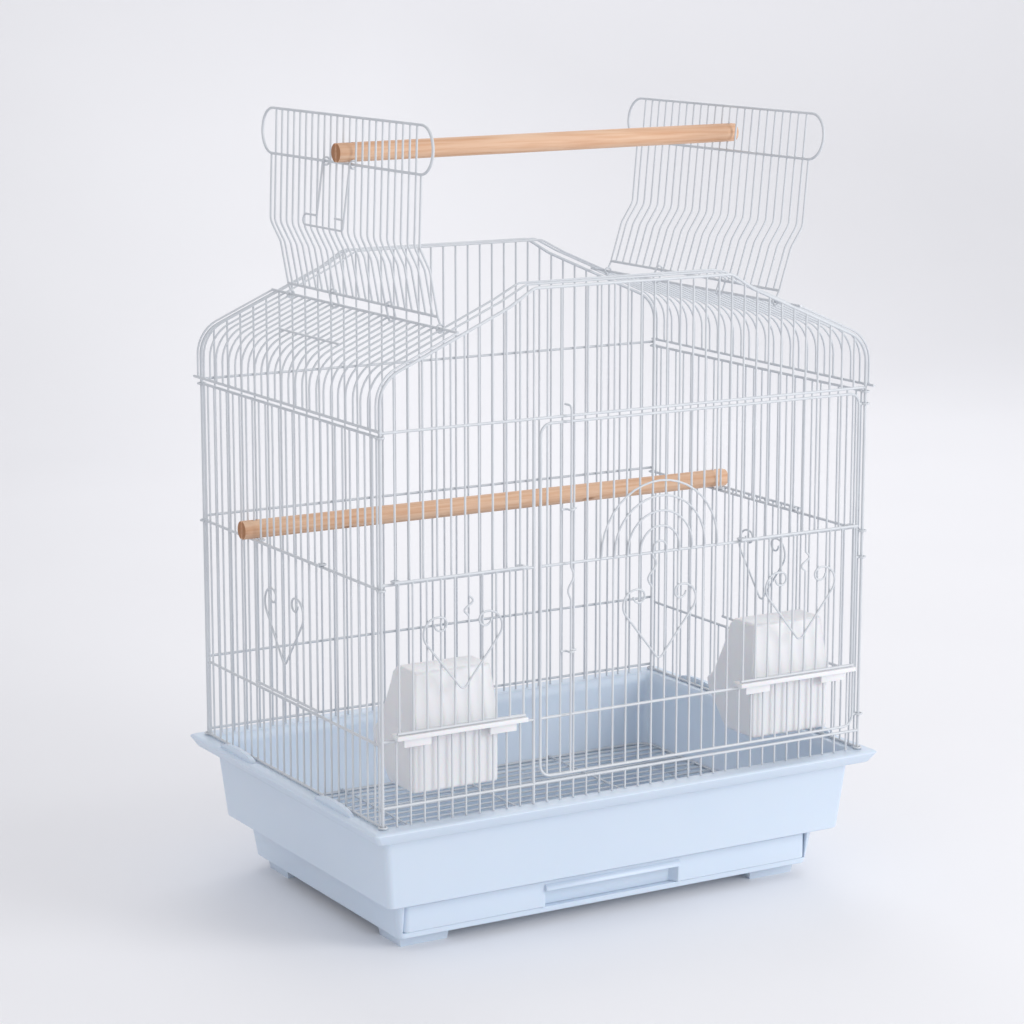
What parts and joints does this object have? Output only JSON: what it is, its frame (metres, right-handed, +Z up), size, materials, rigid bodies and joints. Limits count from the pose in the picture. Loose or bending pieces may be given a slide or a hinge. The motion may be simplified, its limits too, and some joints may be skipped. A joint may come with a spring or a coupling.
{
  "type": "parrot cage",
  "caption": "Wire parrot cage with an opening two-flap roof, a hinged front door, sliding feeder doors, and a plastic tray with a pull-out drawer.",
  "frame": {"origin": "centre of the footprint, on the plane of the feet's soles", "axes": "+Z up, +X to the right along the front, -Y towards the front with the door and the drawer"},
  "size_m": [0.4968, 0.3572, 0.674],
  "materials": {
    "white_wire": "white powder coat, semi-gloss",
    "tray_plastic": "pale blue moulded plastic",
    "drawer_plastic": "pale blue moulded plastic",
    "feeder_plastic": "white moulded plastic",
    "perch_wood": "bare turned softwood"
  },
  "bodies": {
    "cage": {"base_tray": "tray_plastic", "floor_grate": "white_wire", "front_frame": "white_wire", "back_panel": "white_wire", "left_side_panel": "white_wire", "right_side_panel": "white_wire", "roof_frame": "white_wire", "front_left_feeder": "feeder_plastic", "lower_perch": "perch_wood"},
    "drawer": {"slide_out_drawer": "drawer_plastic"},
    "door": {"main_door": "white_wire", "door_latch_guide_upper": "white_wire", "door_latch_guide_lower": "white_wire", "front_right_feeder": "feeder_plastic"},
    "latch_rod": {"door_latch_rod": "white_wire"},
    "feeder_door_front_left": {"front_left_feeder_door": "white_wire"},
    "feeder_door_front_right": {"front_right_feeder_door": "white_wire"},
    "feeder_door_left": {"left_feeder_door": "white_wire"},
    "feeder_door_right": {"right_feeder_door": "white_wire"},
    "flap_left": {"left_flap": "white_wire", "left_hinge_clip_front": "white_wire", "left_hinge_clip_back": "white_wire"},
    "flap_right": {"right_flap": "white_wire", "right_hinge_clip_front": "white_wire", "right_hinge_clip_back": "white_wire"},
    "flap_latch": {"top_latch": "white_wire"},
    "flap_perch": {"top_perch": "perch_wood"}
  },
  "joints": [
    {"name": "drawer_slide", "type": "slide", "parent": "cage", "child": "drawer", "axis": [0, -1, 0], "range_m": [0, 0.24]},
    {"name": "main_door_hinge", "type": "hinge", "parent": "cage", "child": "door", "pos_m": [0.23495, -0.1651, 0.29], "axis": [0, 0, 1], "range_deg": [0, 120]},
    {"name": "latch_rod_slide", "type": "slide", "parent": "door", "child": "latch_rod", "axis": [0, 0, 1], "range_m": [0, 0.012]},
    {"name": "front_left_feeder_door_slide", "type": "slide", "parent": "cage", "child": "feeder_door_front_left", "axis": [0, 0, 1], "range_m": [0, 0.105]},
    {"name": "front_right_feeder_door_slide", "type": "slide", "parent": "door", "child": "feeder_door_front_right", "axis": [0, 0, 1], "range_m": [0, 0.105]},
    {"name": "left_feeder_door_slide", "type": "slide", "parent": "cage", "child": "feeder_door_left", "axis": [0, 0, 1], "range_m": [0, 0.105]},
    {"name": "right_feeder_door_slide", "type": "slide", "parent": "cage", "child": "feeder_door_right", "axis": [0, 0, 1], "range_m": [0, 0.105]},
    {"name": "left_flap_hinge", "type": "hinge", "parent": "cage", "child": "flap_left", "pos_m": [-0.165, 0, 0.51206], "axis": [0, -1, 0], "range_deg": [0, 70]},
    {"name": "right_flap_hinge", "type": "hinge", "parent": "cage", "child": "flap_right", "pos_m": [0.165, 0, 0.51206], "axis": [0, 1, 0], "range_deg": [0, 70]},
    {"name": "top_latch_hinge", "type": "hinge", "parent": "flap_left", "child": "flap_latch", "pos_m": [-0.18125, 0, 0.6342], "axis": [0, 1, 0], "range_deg": [0, 75]},
    {"name": "top_perch_level", "type": "hinge", "parent": "flap_left", "child": "flap_perch", "pos_m": [-0.18125, -0.01505, 0.6342], "axis": [0, -1, 0], "range_deg": [-70, 0]}
  ],
  "couplings": [
    {"joint": "top_perch_level", "follows": "left_flap_hinge", "ratio": -1}
  ]
}
